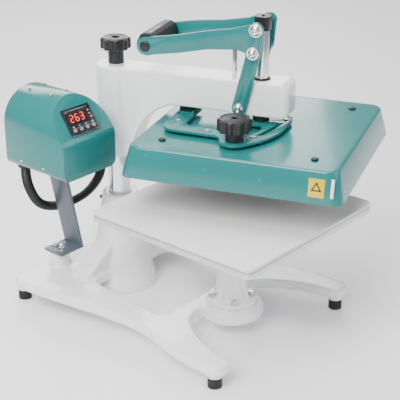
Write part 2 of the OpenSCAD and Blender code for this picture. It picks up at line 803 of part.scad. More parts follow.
module heated_platen() {
  color("silver") on_shaft() difference() {
    slab(platen_w, platen_w, 14, heater_z0, heater_z0 + heater_t);
    for (sx = [-1, 1], sy = [-1, 1]) translate([sx * 147, sy * 145, 0]) rod(4, heater_z0 + 8, 400);
  }
}

module insulation_board() {
  color("beige") on_shaft() difference() {
    slab(platen_w - 6, platen_w - 6, 14, heater_z0 + heater_t, heater_z0 + heater_t + 12);
    for (sx = [-1, 1], sy = [-1, 1]) translate([sx * 147, sy * 145, 0]) rod(4, 300, 400);
  }
}

module cover_screw_caps() {
  color("black") on_shaft() for (sx = [-1, 1], sy = [-1, 1]) translate([sx * 147, sy * 145, 0]) union() {
    rod(4, heater_z0 + 8, cover_top_z + 1);
    rod(7, cover_top_z, cover_top_z + 4);
  }
}

module clamp_knob() {
  color("black") on_shaft() translate([lobe[0], lobe[1], carrier_z0 + carrier_t + 0.3])
    star_knob(32, 10, 17, 19, 24, 6, 8, 5, 16);
}
module clamp_stud() {
  color("silver") on_shaft() translate([lobe[0], lobe[1], 0]) union() {
    rod(12, cover_top_z, carrier_z0);
    rod(4.95, cover_top_z, carrier_z0 + carrier_t + 14);
  }
}

base_casting();
rubber_feet();
swing_column();
column_clamp_screws();
bed_pedestal();
pedestal_bolts();
lower_platen();
silicone_pad();
bed_screws();
control_post();
post_bolts();
control_housing();
control_front_panel();
control_rear_panel();
housing_screws();
display_bezel();
display_board();
key_set();
key_up();
key_down();
key_timer();
power_relay();
mains_inlet();
power_switch();
conduit_gland();
heater_conduit();
swing_arm();
column_bushes();
thrust_washer();
arm_conduit_elbow();
shaft_bushes();
shaft_wiper();
stop_rod();
stop_buffer();
link_pivot_bolt();
column_knob();
column_knob_stud();
link_left();
link_right();
handle_plate_left();
handle_plate_right();
handle_grip();
grip_screws();
handle_spacer();
handle_bolts();
crank_bolts();
press_shaft();
shaft_head();
head_pin();
shaft_collar();
carrier_plate();
carrier_spacers();
guide_bracket();
guide_pad();
heat_cover();
heated_platen();
insulation_board();
cover_screw_caps();
clamp_knob();
clamp_stud();
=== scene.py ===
# Swing-away heat press. The file follows the machine as it is put together: the view,
# the conduit, the base, the bed, the control box, the arm, the toggle and the press head.
import math
import bpy
from mathutils import Matrix, Vector


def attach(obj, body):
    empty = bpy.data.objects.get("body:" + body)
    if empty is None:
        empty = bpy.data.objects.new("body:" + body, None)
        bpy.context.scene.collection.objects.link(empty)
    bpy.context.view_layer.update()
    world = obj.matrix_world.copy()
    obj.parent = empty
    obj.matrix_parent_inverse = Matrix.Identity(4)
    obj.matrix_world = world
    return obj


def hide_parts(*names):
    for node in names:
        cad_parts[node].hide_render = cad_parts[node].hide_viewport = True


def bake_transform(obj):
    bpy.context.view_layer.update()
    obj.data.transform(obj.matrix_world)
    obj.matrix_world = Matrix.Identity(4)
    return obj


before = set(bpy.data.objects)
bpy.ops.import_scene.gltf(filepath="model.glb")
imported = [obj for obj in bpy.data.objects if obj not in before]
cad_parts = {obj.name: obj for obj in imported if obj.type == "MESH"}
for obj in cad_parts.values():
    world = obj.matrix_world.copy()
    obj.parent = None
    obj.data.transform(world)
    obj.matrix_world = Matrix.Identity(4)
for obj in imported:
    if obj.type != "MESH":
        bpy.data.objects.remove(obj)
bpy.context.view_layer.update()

# --- View ---------------------------------------------------------------------
# The viewer stands at the front left, a little above the machine.
camera = bpy.data.objects.new("viewer", bpy.data.cameras.new("viewer"))
camera.location = (-1.4885, -1.3319, 1.1025)
camera.rotation_euler = (math.radians(66.37), 0, math.radians(-49.43))
camera.data.lens = 99.28
camera.data.sensor_width = 36
camera.data.clip_end = 60
bpy.context.scene.collection.objects.link(camera)
bpy.context.scene.camera = camera


# --- Conduit between the control box and the arm ------------------------------
# A corrugated black nylon conduit carries the heater's wires. It leaves a gland in the
# box's floor, hangs in a loop behind the base and is pushed into an elbow on the arm.
class Level:
    """One number that varies over a surface. Its operators add Math nodes."""

    def __init__(self, finish, socket):
        self.finish = finish
        self.socket = socket

    def maths(self, operation, *terms):
        settings = {"operation": operation}
        return self.finish.node("ShaderNodeMath", settings, dict(enumerate(terms)))

    def __add__(self, other):
        return self.maths("ADD", self, other)

    def __sub__(self, other):
        return self.maths("SUBTRACT", self, other)

    def __rsub__(self, other):
        return self.maths("SUBTRACT", other, self)

    def __mul__(self, other):
        return self.maths("MULTIPLY", self, other)

    def above(self, low, high):
        """0 below low, 1 over high, and a straight ramp between them."""
        sockets = {"Value": self, "From Min": low, "From Max": high}
        return self.finish.node("ShaderNodeMapRange", {"clamp": True}, sockets)

    __radd__ = __add__
    __rmul__ = __mul__


class Finish:
    """A material under construction: constants go on the shader's own sockets."""

    def __init__(self, name, colour, roughness, metallic=0.0, **constants):
        self.material = bpy.data.materials.new(name)
        self.material.use_nodes = True
        self.tree = self.material.node_tree
        self.shader = self.tree.nodes["Principled BSDF"]
        self.set("Base Color", (*colour, 1))
        self.set("Roughness", roughness)
        self.set("Metallic", metallic)
        for socket, value in constants.items():
            self.set(socket.replace("_", " "), value)
        self.place = self.node("ShaderNodeTexCoord", {}, {}, "Object")

    def set(self, socket, value):
        target = self.shader.inputs[socket]
        if isinstance(value, Level):
            self.tree.links.new(value.socket, target)
        else:
            target.default_value = value

    def node(self, kind, settings, sockets, out=0):
        made = self.tree.nodes.new(kind)
        for key, value in settings.items():
            setattr(made, key, value)
        for key, value in sockets.items():
            if isinstance(value, Level):
                self.tree.links.new(value.socket, made.inputs[key])
            else:
                made.inputs[key].default_value = value
        return Level(self, made.outputs[out])

    def noise(self, scale, detail=3.0, stretch=None):
        place = self.place
        if stretch:
            place = self.node("ShaderNodeMapping", {}, {"Vector": place, "Scale": stretch})
        sockets = {"Vector": place, "Scale": scale, "Detail": detail}
        return self.node("ShaderNodeTexNoise", {}, sockets)

    def grains(self, scale):
        sockets = {"Vector": self.place, "Scale": scale}
        return self.node("ShaderNodeTexVoronoi", {}, sockets)

    def mix(self, share, first, second):
        sockets = {0: share, 6: first, 7: second}
        return self.node("ShaderNodeMix", {"data_type": "RGBA"}, sockets, 2)

    def bump(self, height, depth, strength=1.0, onto=None):
        sockets = {"Height": height, "Distance": depth, "Strength": strength}
        if onto:
            sockets["Normal"] = onto
        return self.node("ShaderNodeBump", {}, sockets)


def use(piece, finish):
    """Gives a piece of this script one material."""
    piece.data.materials.clear()
    piece.data.materials.append(finish.material)
    return piece


def finish_nodes(finish, *nodes):
    """Gives carried-over nodes a better material."""
    for node in nodes:
        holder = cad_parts[node]
        for slot in holder.material_slots:
            slot.material = finish.material


def moulded(name, colour, roughness, grain_scale=1400.0, grain_depth=0.00006):
    """Moulded plastic or rubber: a fine pebble grain with patches that are rubbed smoother."""
    made = Finish(name, colour, roughness)
    rubbed = made.noise(45.0, 4.0).above(0.40, 0.72)
    pale = tuple(min(1.0, c * 1.5 + 0.004) for c in colour)
    dust = made.noise(260.0, 5.0).above(0.52, 0.80)
    made.set("Base Color", made.mix(dust * 0.45, (*colour, 1), (*pale, 1)))
    made.set("Roughness", roughness + 0.12 - rubbed * 0.20)
    made.set("Normal", made.bump(made.grains(grain_scale), grain_depth, 0.6))
    return made


nylon = moulded("corrugated_nylon", (0.007, 0.007, 0.008), 0.42, 900.0, 0.00004)
conduit_route = [
    (-180, 240, 298), (-180, 241, 280), (-174, 245, 255), (-160, 252, 228), (-138, 264, 200),
    (-112, 276, 178), (-84, 284, 163), (-55, 283, 156), (-28, 273, 160), (-6, 258, 174),
    (8, 244, 196), (12, 230, 224), (6, 221, 254), (1, 217, 284), (0, 216, 310),
]
conduit_r = 0.010
conduit_sides = 24
groove_depth = 0.0016
groove_pitch = 0.0036
# Depth of one groove at equal steps along its pitch, as a share of the full depth
groove = [0.0, 0.35, 0.9, 1.0, 0.9, 0.35]
steps_a_span = 24


def smooth_route(points, step):
    """Points a fixed step apart on a smooth curve through a route given in millimetres."""
    knots = [Vector(p) / 1000 for p in points]
    knots = [knots[0] * 2 - knots[1]] + knots + [knots[-1] * 2 - knots[-2]]
    fine = []
    for a, b, c, d in zip(knots, knots[1:], knots[2:], knots[3:]):
        for i in range(steps_a_span):
            t = i / steps_a_span
            fine.append(0.5 * (2 * b + (c - a) * t + (2 * a - 5 * b + 4 * c - d) * t ** 2
                               + (3 * b - a - 3 * c + d) * t ** 3))
    fine.append(knots[-2])
    route, left = [fine[0]], step
    for a, b in zip(fine, fine[1:]):
        run = (b - a).length
        while run >= left:
            a = a + (b - a) * (left / run)
            route.append(a)
            run = (b - a).length
            left = step
        left -= run
    return route


def tube(name, route, radius_at, sides):
    """A closed mesh tube along a route, with a radius for each of its points."""
    vertices, faces = [], []
    across = None
    for i, point in enumerate(route):
        along = (route[min(i + 1, len(route) - 1)] - route[max(i - 1, 0)]).normalized()
        across = across or Vector((1, 0, 0))
        across = (across - along * across.dot(along)).normalized()
        other = along.cross(across)
        for k in range(sides):
            a = math.tau * k / sides
            vertices.append(point + (across * math.cos(a) + other * math.sin(a)) * radius_at(i))
    for i in range(len(route) - 1):
        for k in range(sides):
            n = (k + 1) % sides
            faces.append((i * sides + k, i * sides + n, (i + 1) * sides + n, (i + 1) * sides + k))
    faces.append(tuple(range(sides - 1, -1, -1)))
    faces.append(tuple((len(route) - 1) * sides + k for k in range(sides)))
    mesh = bpy.data.meshes.new(name)
    mesh.from_pydata([tuple(v) for v in vertices], [], faces)
    piece = bpy.data.objects.new(name, mesh)
    bpy.context.scene.collection.objects.link(piece)
    for face in mesh.polygons:
        face.use_smooth = len(face.vertices) == 4
    return piece


conduit_line = smooth_route(conduit_route, groove_pitch / len(groove))
conduit = tube("corrugated_conduit", conduit_line,
               lambda i: conduit_r - groove_depth * groove[i % len(groove)], conduit_sides)
use(conduit, nylon)
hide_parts("heater_conduit")
conduit_length = sum((b - a).length for a, b in zip(conduit_line, conduit_line[1:]))
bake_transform(conduit)
finish_nodes(nylon, "conduit_gland", "arm_conduit_elbow")

# --- Studio -------------------------------------------------------------------
# A pale floor and large soft lamps. The tall lamp at the back is what the glossy paint
# of the press's cover shows as a bright sheen.
bpy.ops.object.select_all(action="DESELECT")
bpy.ops.mesh.primitive_plane_add(size=30)
floor = bpy.context.object
floor.name = "studio_floor"
floor_paint = Finish("studio_floor_paint", (0.93, 0.925, 0.935), 0.42)
floor_paint.set("Roughness", 0.36 + floor_paint.noise(3.0) * 0.10)
use(floor, floor_paint)


def lamp(name, place, target, width, height, watts, colour=(1, 1, 1)):
    light = bpy.data.lights.new(name, "AREA")
    light.shape = "RECTANGLE"
    light.size, light.size_y = width, height
    light.energy = watts
    light.color = colour
    holder = bpy.data.objects.new(name, light)
    holder.location = place
    holder.rotation_euler = (Vector(target) - Vector(place)).to_track_quat("-Z", "Y").to_euler()
    bpy.context.scene.collection.objects.link(holder)


middle = (0.05, 0.0, 0.3)
lamp("key_lamp", (-2.2, -0.4, 2.4), middle, 1.8, 1.8, 150)
lamp("fill_lamp", (1.4, -2.6, 1.6), middle, 2.2, 1.6, 30)
lamp("back_lamp", (1.9, 2.3, 1.7), middle, 2.6, 1.4, 62)
lamp("top_lamp", (0.0, 0.3, 3.0), middle, 2.4, 2.4, 84)
world = bpy.data.worlds.new("studio_air")
world.use_nodes = True
world.node_tree.nodes["Background"].inputs["Color"].default_value = (0.86, 0.88, 0.92, 1)
world.node_tree.nodes["Background"].inputs["Strength"].default_value = 0.52
bpy.context.scene.world = world

# --- Base casting and its feet ------------------------------------------------
# One grey iron casting: two splayed legs at the front, a slab at the back and a flared
# housing for the column. Its edges are fettled round and it is enamelled white.
column_y = 0.160
rest_swing = math.radians(20.55)
arm_matrix = Matrix.Translation((0, column_y, 0)) @ Matrix.Rotation(rest_swing, 4, "Z")


def only(piece):
    """Deselects everything and makes a piece the active one."""
    if bpy.context.object and bpy.context.object.mode != "OBJECT":
        bpy.ops.object.mode_set(mode="OBJECT")
    bpy.ops.object.select_all(action="DESELECT")
    piece.select_set(True)
    bpy.context.view_layer.objects.active = piece


def modify(piece, kind, **settings):
    """Adds a modifier and applies it."""
    only(piece)
    modifier = piece.modifiers.new(kind.lower(), kind)
    for key, value in settings.items():
        setattr(modifier, key, value)
    bpy.ops.object.modifier_apply(modifier=modifier.name)


def edit(piece, *steps):
    """Runs edit-mode operators on a piece, one after another."""
    only(piece)
    bpy.ops.object.mode_set(mode="EDIT")
    for step in steps:
        step()
    bpy.ops.object.mode_set(mode="OBJECT")
    return piece


def merged_copy(node, name):
    """A copy of a carried-over mesh with its loose triangles joined."""
    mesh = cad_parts[node].data.copy()
    piece = bpy.data.objects.new(name, mesh)
    bpy.context.scene.collection.objects.link(piece)
    for layer in list(mesh.uv_layers):
        mesh.uv_layers.remove(layer)
    only(piece)
    if mesh.has_custom_normals:
        bpy.ops.mesh.customdata_custom_splitnormals_clear()
    edit(piece,
         lambda: bpy.ops.mesh.select_all(action="SELECT"),
         lambda: bpy.ops.mesh.remove_doubles(threshold=0.00002))
    return piece


def cast(node, name, grid, softening, on_arm=False):
    """A cast or moulded piece: an even skin over the node's shape, with its edges worn round."""
    piece = merged_copy(node, name)
    if on_arm:
        piece.data.transform(arm_matrix.inverted())
    modify(piece, "REMESH", mode="VOXEL", voxel_size=grid, use_smooth_shade=True)
    modify(piece, "SMOOTH", factor=0.5, iterations=softening)
    if on_arm:
        piece.data.transform(arm_matrix)
    return piece


crease = math.radians(38)


def milled(node, name, edge, steps=2, angle=35):
    """A cut or folded piece: the node's own shape with every sharp edge broken."""
    piece = merged_copy(node, name)
    edit(piece,
         lambda: bpy.ops.mesh.select_all(action="SELECT"),
         lambda: bpy.ops.mesh.dissolve_limited(angle_limit=math.radians(0.5)))
    modify(piece, "BEVEL", width=edge, segments=steps, limit_method="ANGLE",
           angle_limit=math.radians(angle), use_clamp_overlap=True, miter_outer="MITER_ARC")
    only(piece)
    bpy.ops.object.shade_smooth_by_angle(angle=crease)
    return piece


def fit(piece, finish, slot, body, *nodes):
    """Paints a piece, sets it on its body and stands it for its nodes; its slot argument is not
    used.
    """
    use(piece, finish)
    if nodes:
        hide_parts(*nodes)
    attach(piece, body)
    return piece


def enamel(name, colour, roughness, texture, scuff, coat=0.5):
    """Gloss paint: slight orange peel over a faint texture, with scuffs and a slightly uneven tone.
    """
    made = Finish(name, colour, roughness, Coat_Weight=coat, Coat_Roughness=0.06)
    drift = made.noise(6.0, 2.0)
    dark = tuple(c * 0.90 for c in colour)
    shade = made.mix(drift.above(0.35, 0.70) * 0.6, (*colour, 1), (*dark, 1))
    marks = made.noise(95.0, 8.0).above(0.66, 0.74) * made.noise(14.0, 3.0).above(0.52, 0.62)
    made.set("Base Color", made.mix(marks * 0.5, shade, (*scuff, 1)))
    made.set("Roughness", roughness + marks * 0.25 + made.noise(40.0, 4.0) * 0.06)
    peel = made.bump(made.noise(420.0, 2.0), 0.00005, 0.35)
    made.set("Normal", made.bump(made.noise(70.0, 3.0), texture, 0.5, peel))
    return made


white_paint = enamel("white_gloss_enamel", (0.92, 0.92, 0.92), 0.24, 0.00035, (0.42, 0.42, 0.42))
fit(cast("base_casting", "base_frame", 0.0026, 9), white_paint, "white_enamel", "root",
    "base_casting")
rubber = moulded("moulded_rubber", (0.007, 0.007, 0.008), 0.62, 700.0, 0.00010)
feet = cast("rubber_feet", "foot_bushes", 0.0009, 5)
fit(feet, rubber, "black_rubber", "root", "rubber_feet")

# --- Column -------------------------------------------------------------------
# A ground and hard-chromed bar that the arm swings on, held by two grub screws.


def bare_metal(name, colour, roughness, stretch, lines, smear=0.10):
    """Bare or plated metal with fine lines left by the tool and slightly smeared gloss."""
    made = Finish(name, colour, roughness, 1.0)
    tool = made.noise(lines, 6.0, stretch)
    haze = made.noise(22.0, 4.0).above(0.35, 0.75)
    dull = tuple(c * 0.80 for c in colour)
    made.set("Base Color", made.mix(haze * 0.35, (*colour, 1), (*dull, 1)))
    made.set("Roughness", roughness + haze * smear + tool * 0.05)
    made.set("Normal", made.bump(tool, 0.00003, 0.35))
    return made


chrome = bare_metal("hard_chrome", (0.80, 0.80, 0.82), 0.07, (1, 1, 30), 60.0)
zinc = bare_metal("zinc_plate", (0.62, 0.63, 0.66), 0.24, (1, 1, 1), 500.0)
black_steel = bare_metal("blackened_steel", (0.10, 0.10, 0.11), 0.34, (1, 1, 1), 400.0)
bronze = bare_metal("sintered_bronze", (0.50, 0.33, 0.14), 0.36, (1, 1, 1), 700.0)
fit(milled("swing_column", "column_bar", 0.0012), chrome, "chromed_steel", "root", "swing_column")
finish_nodes(black_steel, "column_clamp_screws")

# --- Bed ----------------------------------------------------------------------
# A cast pedestal with four ribs carries a machined aluminium plate. A silicone sponge
# pad lies on it, and the cloth to be printed is laid over the pad.
fit(cast("bed_pedestal", "pedestal_casting", 0.0022, 7), white_paint, "white_enamel", "root",
    "bed_pedestal")
fit(milled("pedestal_bolts", "pedestal_bolt_set", 0.0008), zinc, "zinc_steel", "root",
    "pedestal_bolts")
fit(milled("bed_screws", "bed_screw_set", 0.0006), zinc, "zinc_steel", "root", "bed_screws")
aluminium = Finish("machined_aluminium", (0.62, 0.63, 0.64), 0.32, 1.0)
cutter = {"Vector": aluminium.place, "Scale": 95.0, "Distortion": 0.6, "Detail": 2.0}
passes = aluminium.node("ShaderNodeTexWave", {"bands_direction": "Y"}, cutter)
aluminium.set("Roughness", 0.28 + passes * 0.08 + aluminium.noise(30.0) * 0.10)
aluminium.set("Normal", aluminium.bump(passes, 0.00003, 0.5))
fit(milled("lower_platen", "bed_plate", 0.0010), aluminium, "cast_aluminium", "root",
    "lower_platen")
silicone = Finish("silicone_sponge", (0.70, 0.70, 0.68), 0.62)
cells = silicone.grains(650.0)
print_marks = silicone.noise(9.0, 5.0).above(0.50, 0.78)
clean_pad, browned_pad = (0.74, 0.74, 0.72, 1), (0.60, 0.59, 0.56, 1)
silicone.set("Base Color", silicone.mix(print_marks * 0.5, clean_pad, browned_pad))
silicone.set("Roughness", 0.55 + silicone.noise(160.0, 4.0) * 0.20)
silicone.set("Normal", silicone.bump(cells, 0.00012, 0.7))
fit(milled("silicone_pad", "sponge_pad", 0.0022, 3), silicone, "silicone", "root", "silicone_pad")

# --- Post and control box -----------------------------------------------------
# A folded steel strip carries the box on the left. The box is a rolled sheet cover
# between a folded front panel and a flat rear panel, all powder coated teal.
grey = (0.085, 0.105, 0.125)
grey_paint = enamel("grey_powder_coat", grey, 0.38, 0.00008, (0.30, 0.31, 0.32), 0.1)
teal = (0.010, 0.165, 0.160)
teal_paint = enamel("teal_gloss_paint", teal, 0.19, 0.00006, (0.06, 0.28, 0.27), 0.15)
fit(milled("control_post", "post_strip", 0.0012), grey_paint, "grey_enamel", "root",
    "control_post")
fit(milled("post_bolts", "post_bolt_set", 0.0007), zinc, "zinc_steel", "root", "post_bolts")
for node, name, edge in (("control_housing", "box_cover", 0.0006),
                         ("control_front_panel", "box_front", 0.0007),
                         ("control_rear_panel", "box_rear", 0.0006)):
    fit(milled(node, name, edge, 2, 30), teal_paint, "teal_enamel", "root", node)
fit(milled("housing_screws", "box_screws", 0.0009, 3), zinc, "zinc_steel", "root",
    "housing_screws")

# --- Display and keys ---------------------------------------------------------
# A black acrylic bezel is set in the sloping face over a red three-digit module. Below
# the digits are four keys, and small printed marks stand beside and above them.
display_centre = (-0.140, 0.12079, 0.40592)
face_slope = math.radians(53.3)
face_matrix = Matrix.Translation(display_centre) @ Matrix.Rotation(face_slope, 4, "X")
acrylic = Finish("smoked_acrylic", (0.012, 0.012, 0.014), 0.10, Coat_Weight=1.0)
acrylic.set("Roughness", 0.08 + acrylic.noise(35.0, 5.0).above(0.5, 0.8) * 0.16)
acrylic.set("Normal", acrylic.bump(acrylic.noise(800.0, 2.0), 0.00001, 0.3))
fit(milled("display_bezel", "display_frame", 0.0008), acrylic, "display_black", "root",
    "display_bezel")
module_red = moulded("digit_module_face", (0.045, 0.006, 0.006), 0.22, 2000.0, 0.00001)
fit(milled("display_board", "digit_module", 0.0004, 1), module_red, "display_red", "root",
    "display_board")


def glowing(name, colour, dim, bright):
    """A lit mark: its glow is strongest in the middle of each segment's grain."""
    made = Finish(name, colour, 0.3, Emission_Strength=bright)
    made.set("Emission Color", made.mix(made.noise(900.0), (*dim, 1), (*colour, 1)))
    return made


lit_red = glowing("lit_segment", (1.0, 0.06, 0.05), (0.85, 0.02, 0.02), 2.6)
dark_red = moulded("dark_segment", (0.10, 0.010, 0.010), 0.3, 2000.0, 0.00001)
print_white = moulded("white_legend", (0.62, 0.64, 0.66), 0.45, 2000.0, 0.00001)
digit_segments = {"2": "abged", "6": "afgedc", "3": "abgcd"}
segment_places = {"a": (0, 7, 0), "g": (0, 0, 0), "d": (0, -7, 0), "f": (-3.6, 3.5, 90),
                  "b": (3.6, 3.5, 90), "e": (-3.6, -3.5, 90), "c": (3.6, -3.5, 90)}


def flat_mark(corners, x, y, length, width, turn=0, height=0.3, z=0.6):
    """A thin flat mark on the face, given in millimetres, from a low prism."""
    size = (length, width, height)
    bpy.ops.object.select_all(action="DESELECT")
    bpy.ops.mesh.primitive_cylinder_add(vertices=corners, radius=0.5, depth=1)
    mark = bpy.context.object
    edit(mark,
         lambda: bpy.ops.mesh.select_all(action="SELECT"),
         lambda: bpy.ops.transform.resize(value=size, center_override=(0, 0, 0)))
    to_metres = Matrix.Scale(0.001, 4)
    mark.data.transform(face_matrix @ to_metres @ Matrix.Translation((x, y, z))
                        @ Matrix.Rotation(math.radians(turn), 4, "Z"))
    return mark


def joined(name, parts):
    """Makes one piece of several."""
    only(parts[0])
    for part in parts:
        part.select_set(True)
    if len(parts) > 1:
        bpy.ops.object.join()
    parts[0].name = name
    return parts[0]


digit_places = (-17.5, -4.5, 8.5)
digit_y, digit_slant, lean_back = 7, 0.10, 6
segment_long, segment_wide = 6.4, 1.7
lit, unlit = [], []
for digit, digit_x in zip("263", digit_places):
    for letter, (dx, dy, turn) in segment_places.items():
        mark = flat_mark(6, digit_x + dx + dy * digit_slant, digit_y + dy, segment_long,
                         segment_wide, turn - (lean_back if turn else 0))
        (lit if letter in digit_segments[digit] else unlit).append(mark)
fit(joined("lit_segments", lit), lit_red, "display_red", "root")
fit(joined("dark_segments", unlit), dark_red, "display_red", "root")
ink, bezel_top, legend_y = 0.2, 2.05, -9.6
marks = [flat_mark(4, 27, y, 4.6, 2.6, 45, ink, bezel_top) for y in (14, 7, 0)]
for corners, x, length, width, turn in ((3, -8, 3.4, 3.0, 0), (3, 8, 3.4, 3.0, 180),
                                        (24, -24, 2.8, 2.8, 0), (6, 24, 3.0, 2.8, 0)):
    marks.append(flat_mark(corners, x, legend_y, length, width, turn, ink, bezel_top))
marks.append(flat_mark(4, 0, 22.5, 62, 0.7, 0, ink, bezel_top))
fit(joined("face_marks", marks), print_white, "key_grey", "root")
key_grey = moulded("moulded_key", (0.20, 0.205, 0.215), 0.38, 1500.0, 0.00003)
for key in ("key_set", "key_up", "key_down", "key_timer"):
    fit(cast(key, key + "_cap", 0.00035, 3), key_grey, "key_grey", key, key)

# --- Rear of the box ----------------------------------------------------------
# A moulded three-pole mains inlet with its pins and a rocker switch are clipped into the
# rear panel. The relay that switches the heater sits on the floor inside.
black_plastic = moulded("black_phenolic", (0.007, 0.007, 0.008), 0.36, 1200.0, 0.00005)
fit(milled("mains_inlet", "inlet_body", 0.0008), black_plastic, "black_plastic", "root",
    "mains_inlet")
fit(milled("power_switch", "rocker", 0.0006), black_plastic, "black_plastic", "power_switch",
    "power_switch")
fit(milled("power_relay", "relay_case", 0.0010), black_plastic, "black_plastic", "root",
    "power_relay")
pin_size = (0.002, 0.016, 0.004)
inlet_centre = Vector((-0.1513, 0.2548, 0.3397))
pins = []
for pin_x, pin_z in ((-0.007, -0.0025), (0.0, 0.002), (0.007, -0.0025)):
    bpy.ops.object.select_all(action="DESELECT")
    bpy.ops.mesh.primitive_cube_add(size=1)
    pin = bpy.context.object
    edit(pin,
         lambda: bpy.ops.mesh.select_all(action="SELECT"),
         lambda: bpy.ops.transform.resize(value=pin_size),
         lambda: bpy.ops.mesh.bevel(offset=0.0005, segments=2))
    pin.data.transform(Matrix.Translation(inlet_centre + Vector((pin_x, 0, pin_z))))
    pins.append(pin)
fit(joined("inlet_pins", pins), zinc, "zinc_steel", "root")

# --- Swing arm ----------------------------------------------------------------
# A white enamelled iron casting: a sleeve on the column, an arched beam and a bored
# head. Bronze bushes line both bores, and a lip seal wipes the shaft.
arm = cast("swing_arm", "arm_casting", 0.0021, 8, True)
fit(arm, white_paint, "white_enamel", "swing_arm", "swing_arm")
finish_nodes(bronze, "column_bushes", "thrust_washer", "shaft_bushes")
fit(milled("shaft_wiper", "wiper_seal", 0.0010, 3), rubber, "black_rubber", "swing_arm",
    "shaft_wiper")
fit(milled("stop_rod", "stop_stud", 0.0010), chrome, "zinc_steel", "swing_arm", "stop_rod")
fit(cast("stop_buffer", "buffer_cap", 0.0006, 4), rubber, "black_rubber", "swing_arm",
    "stop_buffer")

# --- Column knob --------------------------------------------------------------
# A lobed phenolic knob with a long neck clamps the arm's height. Its stud is plated.
fit(cast("column_knob", "column_star_knob", 0.0009, 4), black_plastic, "black_plastic",
    "column_knob", "column_knob")
fit(milled("column_knob_stud", "column_knob_screw", 0.0008), zinc, "zinc_steel", "column_knob",
    "column_knob_stud")

# --- Links and handle ---------------------------------------------------------
# Two flat links and two joggled handle plates are laser cut from steel and powder coated.
# The grip is one phenolic block, held by a capped screw at each end.
plate_edge = 0.0009
for node, name, body in (("link_left", "toggle_link_left", "links"),
                         ("link_right", "toggle_link_right", "links"),
                         ("handle_plate_left", "lever_plate_left", "handle"),
                         ("handle_plate_right", "lever_plate_right", "handle")):
    fit(milled(node, name, plate_edge), teal_paint, "teal_enamel", body, node)
grip_plastic = moulded("grip_phenolic", (0.007, 0.007, 0.008), 0.38, 1000.0, 0.00008)
fit(cast("handle_grip", "lever_grip", 0.0012, 6, True), grip_plastic, "black_plastic", "handle",
    "handle_grip")
fit(milled("grip_screws", "grip_screw_caps", 0.0016, 3), black_plastic, "black_plastic", "handle",
    "grip_screws")
fit(milled("handle_spacer", "spacer_bar", 0.0008), zinc, "zinc_steel", "handle", "handle_spacer")


def turned(name, stations, sides=48):
    """A turned part about +Z: a disc pushed up and resized from station to station."""
    bpy.ops.object.select_all(action="DESELECT")
    radius, height = stations[0]
    bpy.ops.mesh.primitive_circle_add(vertices=sides, radius=radius / 1000, fill_type="NGON",
                                      location=(0, 0, height / 1000))
    piece = bpy.context.object
    piece.name = name
    only(piece)
    bpy.ops.object.transform_apply(location=True, rotation=True, scale=True)
    bpy.ops.object.mode_set(mode="EDIT")
    bpy.ops.mesh.select_all(action="SELECT")
    for next_radius, next_height in stations[1:]:
        rise = (next_height - height) / 1000
        bpy.ops.mesh.extrude_region_move(TRANSFORM_OT_translate={"value": (0, 0, rise)})
        k = next_radius / radius
        bpy.ops.transform.resize(value=(k, k, 1), center_override=(0, 0, next_height / 1000))
        radius, height = next_radius, next_height
    bpy.ops.mesh.select_all(action="SELECT")
    bpy.ops.mesh.normals_make_consistent(inside=False)
    bpy.ops.object.mode_set(mode="OBJECT")
    bpy.ops.object.shade_smooth_by_angle(angle=crease)
    return piece


def set_of(name, piece, places):
    """One piece made of copies of a part, each with its own mesh, at the places given."""
    made = []
    for place in places:
        twin = bpy.data.objects.new(name, piece.data.copy())
        bpy.context.scene.collection.objects.link(twin)
        twin.data.transform(place)
        made.append(twin)
    bpy.data.objects.remove(piece)
    return joined(name, made)


def both_sides(place):
    """The same place on the arm's left and right side, turned outwards, in millimetres."""
    y, z = place
    return [arm_matrix @ Matrix.Translation((0, y / 1000, z / 1000))
            @ Matrix.Rotation(math.radians(turn), 4, "Y") for turn in (90, -90)]


def button_head(start, washer_r, head_r, washer_x, height):
    """Stations of a pin with a washer and a domed hex-socket head on its outer end."""
    x = washer_x
    return start + [
        (washer_r - 0.4, x), (washer_r, x + 0.4), (washer_r, x + 1.5), (washer_r - 0.4, x + 1.9),
        (head_r, x + 1.9), (head_r, x + 2.5), (head_r * 0.95, x + 2.5 + height * 0.35),
        (head_r * 0.82, x + 2.5 + height * 0.68), (head_r * 0.62, x + 2.5 + height * 0.92),
        (head_r * 0.46, x + 2.5 + height), (head_r * 0.40, x + 2.5 + height * 0.93),
        (head_r * 0.40, x + 2.5 + height * 0.35), (0.3, x + 2.5 + height * 0.30)]


# Distances from the arm's middle plane: where the pins start, and the outer faces of the
# links and the handle plates. A boss keeps each head bolt's plate clear of its link.
pin_start, link_face, plate_back, plate_face = 33.5, 39.8, 39.95, 45.55
pin_r, boss_r = 6, 7
boss = [(0.3, 33.4), (boss_r, 33.4), (boss_r, plate_back), (pin_r, plate_back), (pin_r, plate_face)]
head_bolt = button_head(boss, 13, 10.5, plate_face, 5.4)
crank_bolt = button_head([(0.3, pin_start), (pin_r, pin_start), (pin_r, plate_face)], 12, 9,
                         plate_face, 5.4)
link_bolt = button_head([(0.3, 2), (pin_r, 2), (pin_r, link_face)], 10.5, 9, link_face, 4.6)
dimple = [(0.3, 45.4), (4.4, 45.4), (4.4, 45.8), (3.6, 46.1), (2.9, 46.0), (2.0, 45.7),
          (0.3, 45.6)]
head_pivot, crank_pivot, link_foot, plug = (-300, 582), (-295, 538.285), (-267, 427), (-232, 558)
fit(set_of("shaft_head_bolts", turned("bolt", head_bolt), both_sides(head_pivot)),
    chrome, "chromed_steel", "handle", "handle_bolts")
fit(set_of("crank_bolt_set", turned("bolt", crank_bolt), both_sides(crank_pivot)),
    chrome, "chromed_steel", "handle", "crank_bolts")
fit(set_of("link_bolt_set", turned("bolt", link_bolt), both_sides(link_foot)),
    chrome, "zinc_steel", "swing_arm", "link_pivot_bolt")
fit(set_of("lever_plugs", turned("plug", dimple, 24), both_sides(plug)),
    teal_paint, "teal_enamel", "handle")

